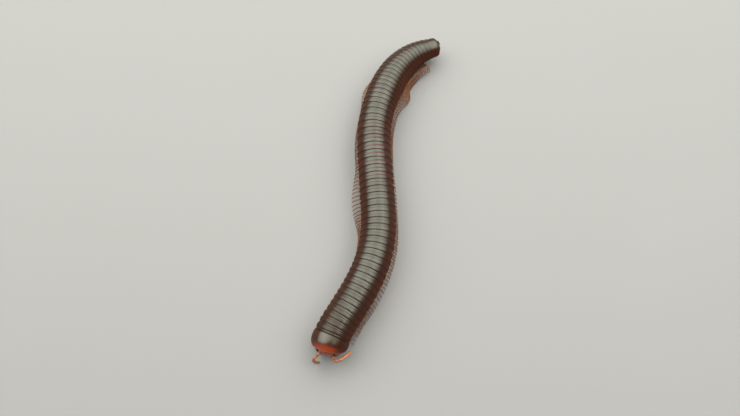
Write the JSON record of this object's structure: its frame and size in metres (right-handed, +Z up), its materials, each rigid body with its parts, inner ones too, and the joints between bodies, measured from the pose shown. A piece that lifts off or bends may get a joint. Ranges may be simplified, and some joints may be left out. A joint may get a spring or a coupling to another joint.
{
  "type": "millipede",
  "caption": "Large glossy dark-red millipede walking with its round-backed body in a gentle S, many short orange legs down both sides and elbowed antennae.",
  "frame": {"origin": "middle of the box round the whole animal, at the ground", "axes": "+Z up, +Y from the head towards the tail along the run of the body, +X to the animal's left"},
  "size_m": [0.04, 0.1076, 0.0126],
  "materials": {
    "head": "glossy red-brown cuticle",
    "eye": "glossy black simple eyes",
    "antenna": "satin orange-brown cuticle",
    "collum": "glossy dark maroon cuticle, darker at the ring edges",
    "trunk": "glossy dark maroon cuticle, darker at the ring edges",
    "telson": "glossy dark maroon cuticle, darker at the ring edges",
    "anal_valve": "glossy dark maroon cuticle, darker at the ring edges"
  },
  "bodies": {
    "root": {"head": "head", "eye_left": "eye", "eye_right": "eye", "antenna_left": "antenna", "antenna_right": "antenna", "collum": "collum", "trunk_1": "trunk", "trunk_2": "trunk", "trunk_3": "trunk", "trunk_4": "trunk", "trunk_5": "trunk", "trunk_6": "trunk", "trunk_7": "trunk", "trunk_8": "trunk", "telson": "telson", "anal_valve_left": "anal_valve", "anal_valve_right": "anal_valve"}
  },
  "joints": []
}
